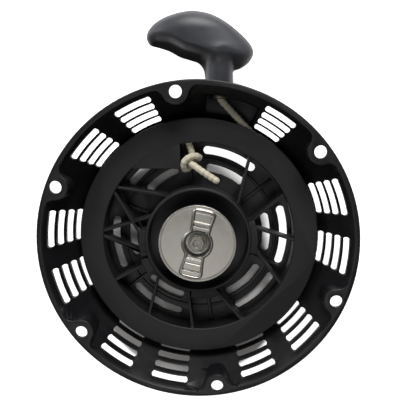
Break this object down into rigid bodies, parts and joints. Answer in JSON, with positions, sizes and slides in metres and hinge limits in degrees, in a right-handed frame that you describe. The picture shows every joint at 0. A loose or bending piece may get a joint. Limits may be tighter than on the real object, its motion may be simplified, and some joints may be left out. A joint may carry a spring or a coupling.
{
  "type": "recoil starter",
  "caption": "Round bowl-shaped recoil starter with slotted sides, a rope reel on a centre post, a pawl friction plate and a T-shaped pull handle.",
  "frame": {"origin": "centre of the bolt circle, on the flange face that meets the engine", "axes": "+Z out of the flange face towards the engine, +Y towards the handle, +X to the right seen from the engine side"},
  "size_m": [0.22, 0.2665, 0.0412],
  "materials": {
    "housing_plastic": "satin",
    "zinc_steel": "zinc plated",
    "guide_metal": "satin",
    "spring_steel": "blued",
    "reel_nylon": "matt",
    "bush_bronze": "oiled",
    "pawl_steel": "sintered",
    "plate_steel": "zinc plated, pressed",
    "bolt_steel": "zinc plated",
    "rope_cord": "braided",
    "grip_rubber": "satin"
  },
  "bodies": {
    "frame": {"housing": "housing_plastic", "post_insert": "zinc_steel", "rope_guide": "guide_metal", "thrust_washer": "zinc_steel", "main_spring": "spring_steel", "bolt_washer": "zinc_steel", "centre_bolt": "bolt_steel"},
    "reel": {"reel": "reel_nylon", "reel_bush": "bush_bronze", "spring_case": "zinc_steel", "pawl_pin_a": "zinc_steel", "pawl_pin_b": "zinc_steel", "pawl_spring_a": "spring_steel", "pawl_spring_b": "spring_steel", "brake_spring": "spring_steel", "rope_wound": "rope_cord", "rope_knot": "rope_cord", "rope_tail": "rope_cord"},
    "plate": {"friction_plate": "plate_steel"},
    "pawl_a": {"pawl_a": "pawl_steel"},
    "pawl_b": {"pawl_b": "pawl_steel"},
    "rope_end": {"rope_lead": "rope_cord", "handle_washer": "zinc_steel", "handle_knot": "rope_cord"},
    "grip": {"handle_grip": "grip_rubber", "handle_cap": "grip_rubber"}
  },
  "joints": [
    {"name": "reel_spin", "type": "hinge", "parent": "frame", "child": "reel", "pos_m": [0, 0, 0], "axis": [0, 0, 1], "range_deg": [0, 1080], "stiffness_Nm_per_rad": 0.02, "springref_deg": -719.98, "deforming": ["main_spring"]},
    {"name": "handle_pull", "type": "slide", "parent": "frame", "child": "rope_end", "axis": [0, 1, 0], "range_m": [0, 1.44], "deforming": ["rope_lead"]},
    {"name": "grip_turn", "type": "hinge", "parent": "rope_end", "child": "grip", "pos_m": [0.015, 0.12, -0.0273], "axis": [0, 1, 0], "continuous": true},
    {"name": "plate_turn", "type": "hinge", "parent": "reel", "child": "plate", "pos_m": [0, 0, 0], "axis": [0, 0, 1], "range_deg": [-25, 0]},
    {"name": "pawl_a_swing", "type": "hinge", "parent": "reel", "child": "pawl_a", "pos_m": [0.01785, 0.0065, 0], "axis": [0, 0, 1], "range_deg": [-45, 0]},
    {"name": "pawl_b_swing", "type": "hinge", "parent": "reel", "child": "pawl_b", "pos_m": [-0.01785, -0.0065, 0], "axis": [0, 0, 1], "range_deg": [-45, 0]}
  ],
  "couplings": [
    {"joint": "handle_pull", "follows": "reel_spin", "m_per_rad": 0.0763},
    {"joint": "pawl_a_swing", "follows": "plate_turn", "ratio": 1.8},
    {"joint": "pawl_b_swing", "follows": "plate_turn", "ratio": 1.8}
  ]
}
